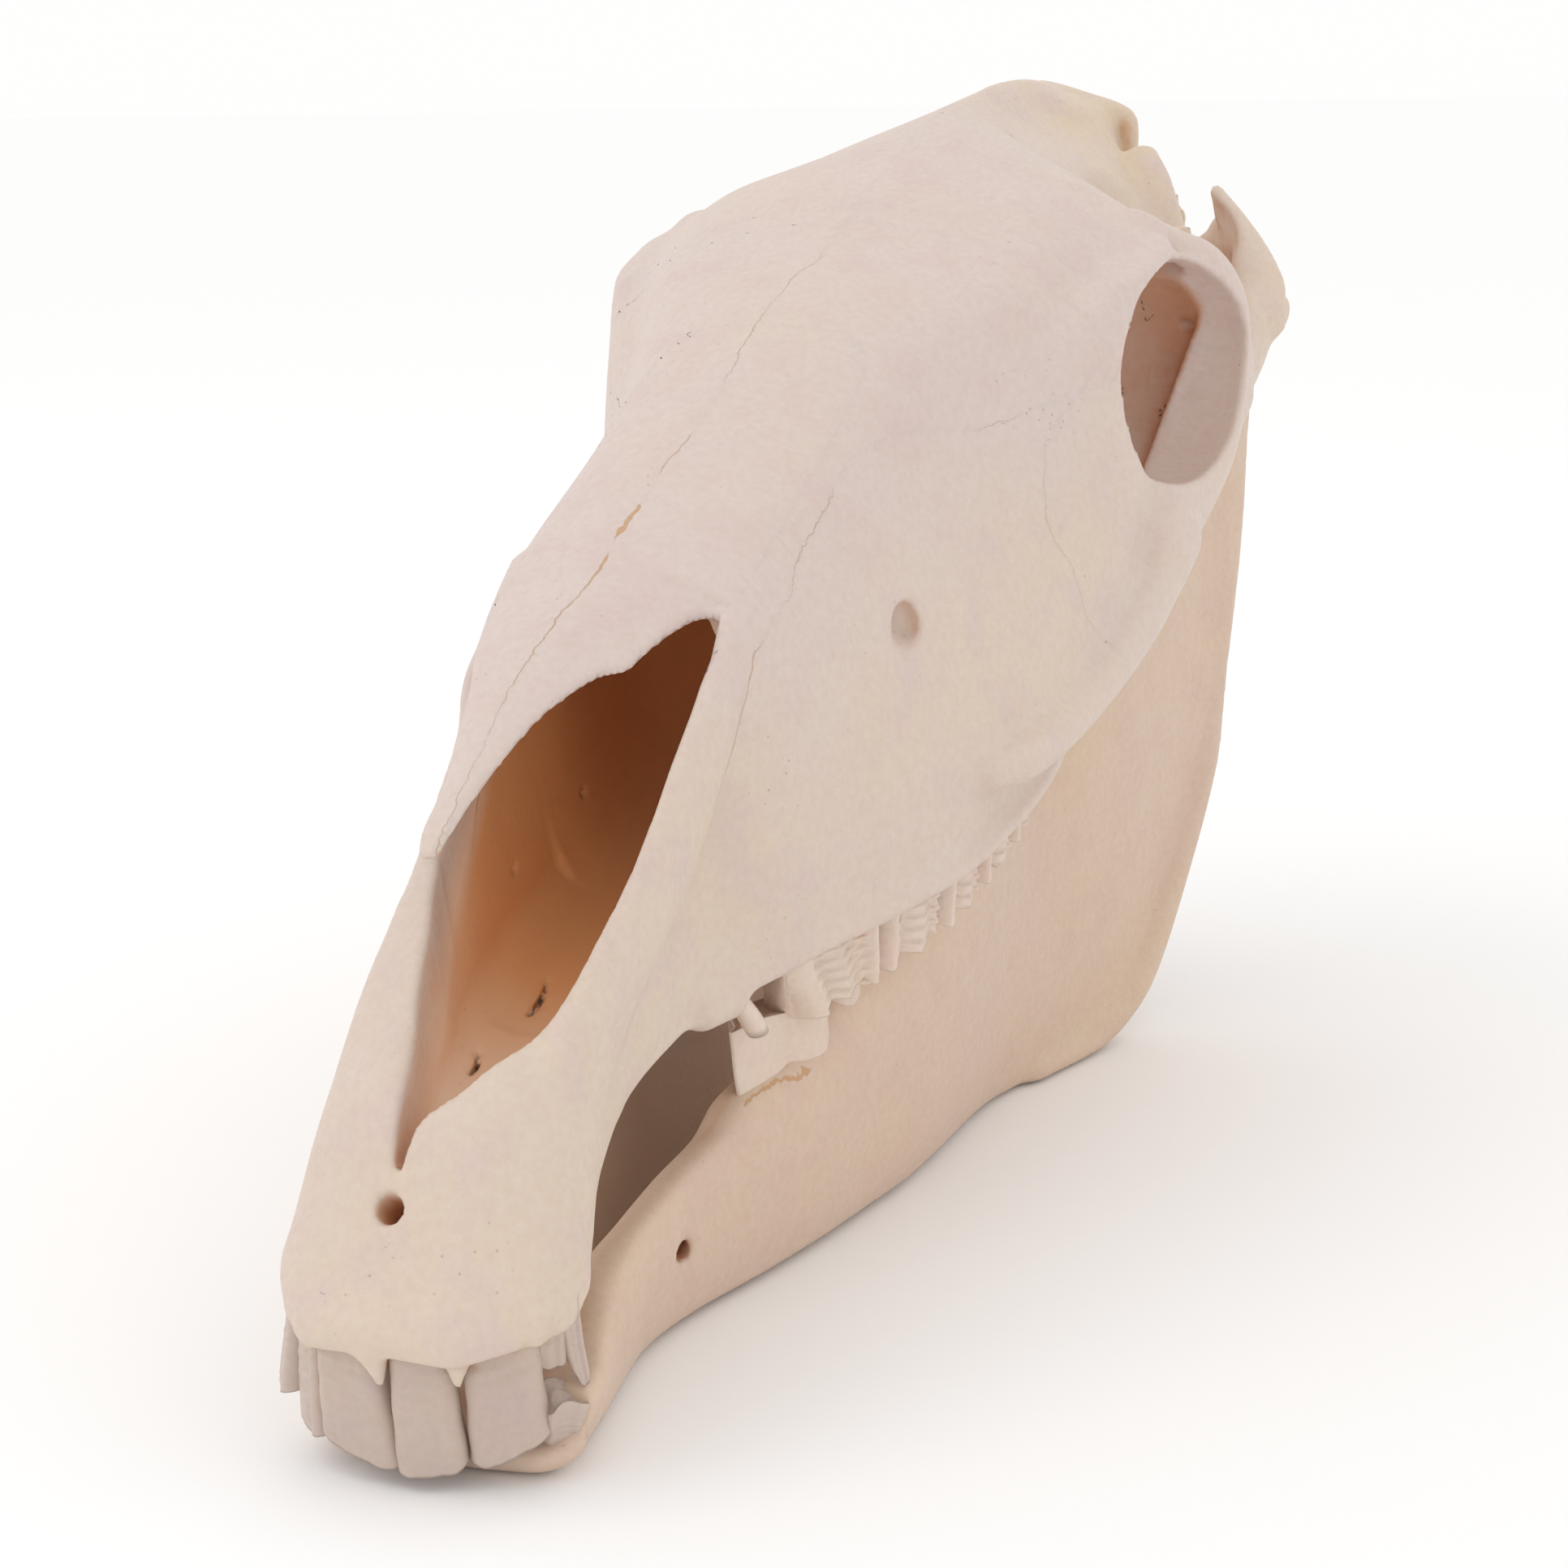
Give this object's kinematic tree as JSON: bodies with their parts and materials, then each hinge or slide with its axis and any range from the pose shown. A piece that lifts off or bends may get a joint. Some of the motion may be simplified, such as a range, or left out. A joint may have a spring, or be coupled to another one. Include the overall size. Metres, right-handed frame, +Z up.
{
  "type": "horse skull",
  "caption": "Life-size horse skull: the cranium with its upper teeth resting on the lower jaw, mouth nearly closed, lying on its jaw.",
  "frame": {"origin": "on the floor, in the middle of the box round the skull", "axes": "-Y towards the nose, +X to the animal's left, +Z up"},
  "size_m": [0.2076, 0.5206, 0.3171],
  "materials": {
    "bone": "pale pinkish-cream bone, matte to satin, with fine pits and pores",
    "aged_bone": "yellower bone at the back of the skull and on the jaw, matte to satin",
    "tooth": "ivory teeth with fine growth lines, satin"
  },
  "bodies": {
    "root": {"nasal_bones": "bone", "incisive_bone": "bone", "maxilla_left": "bone", "maxilla_right": "bone", "zygomatic_left": "bone", "zygomatic_right": "bone", "frontal_bone": "bone", "braincase": "aged_bone", "mandible": "aged_bone"}
  },
  "joints": []
}
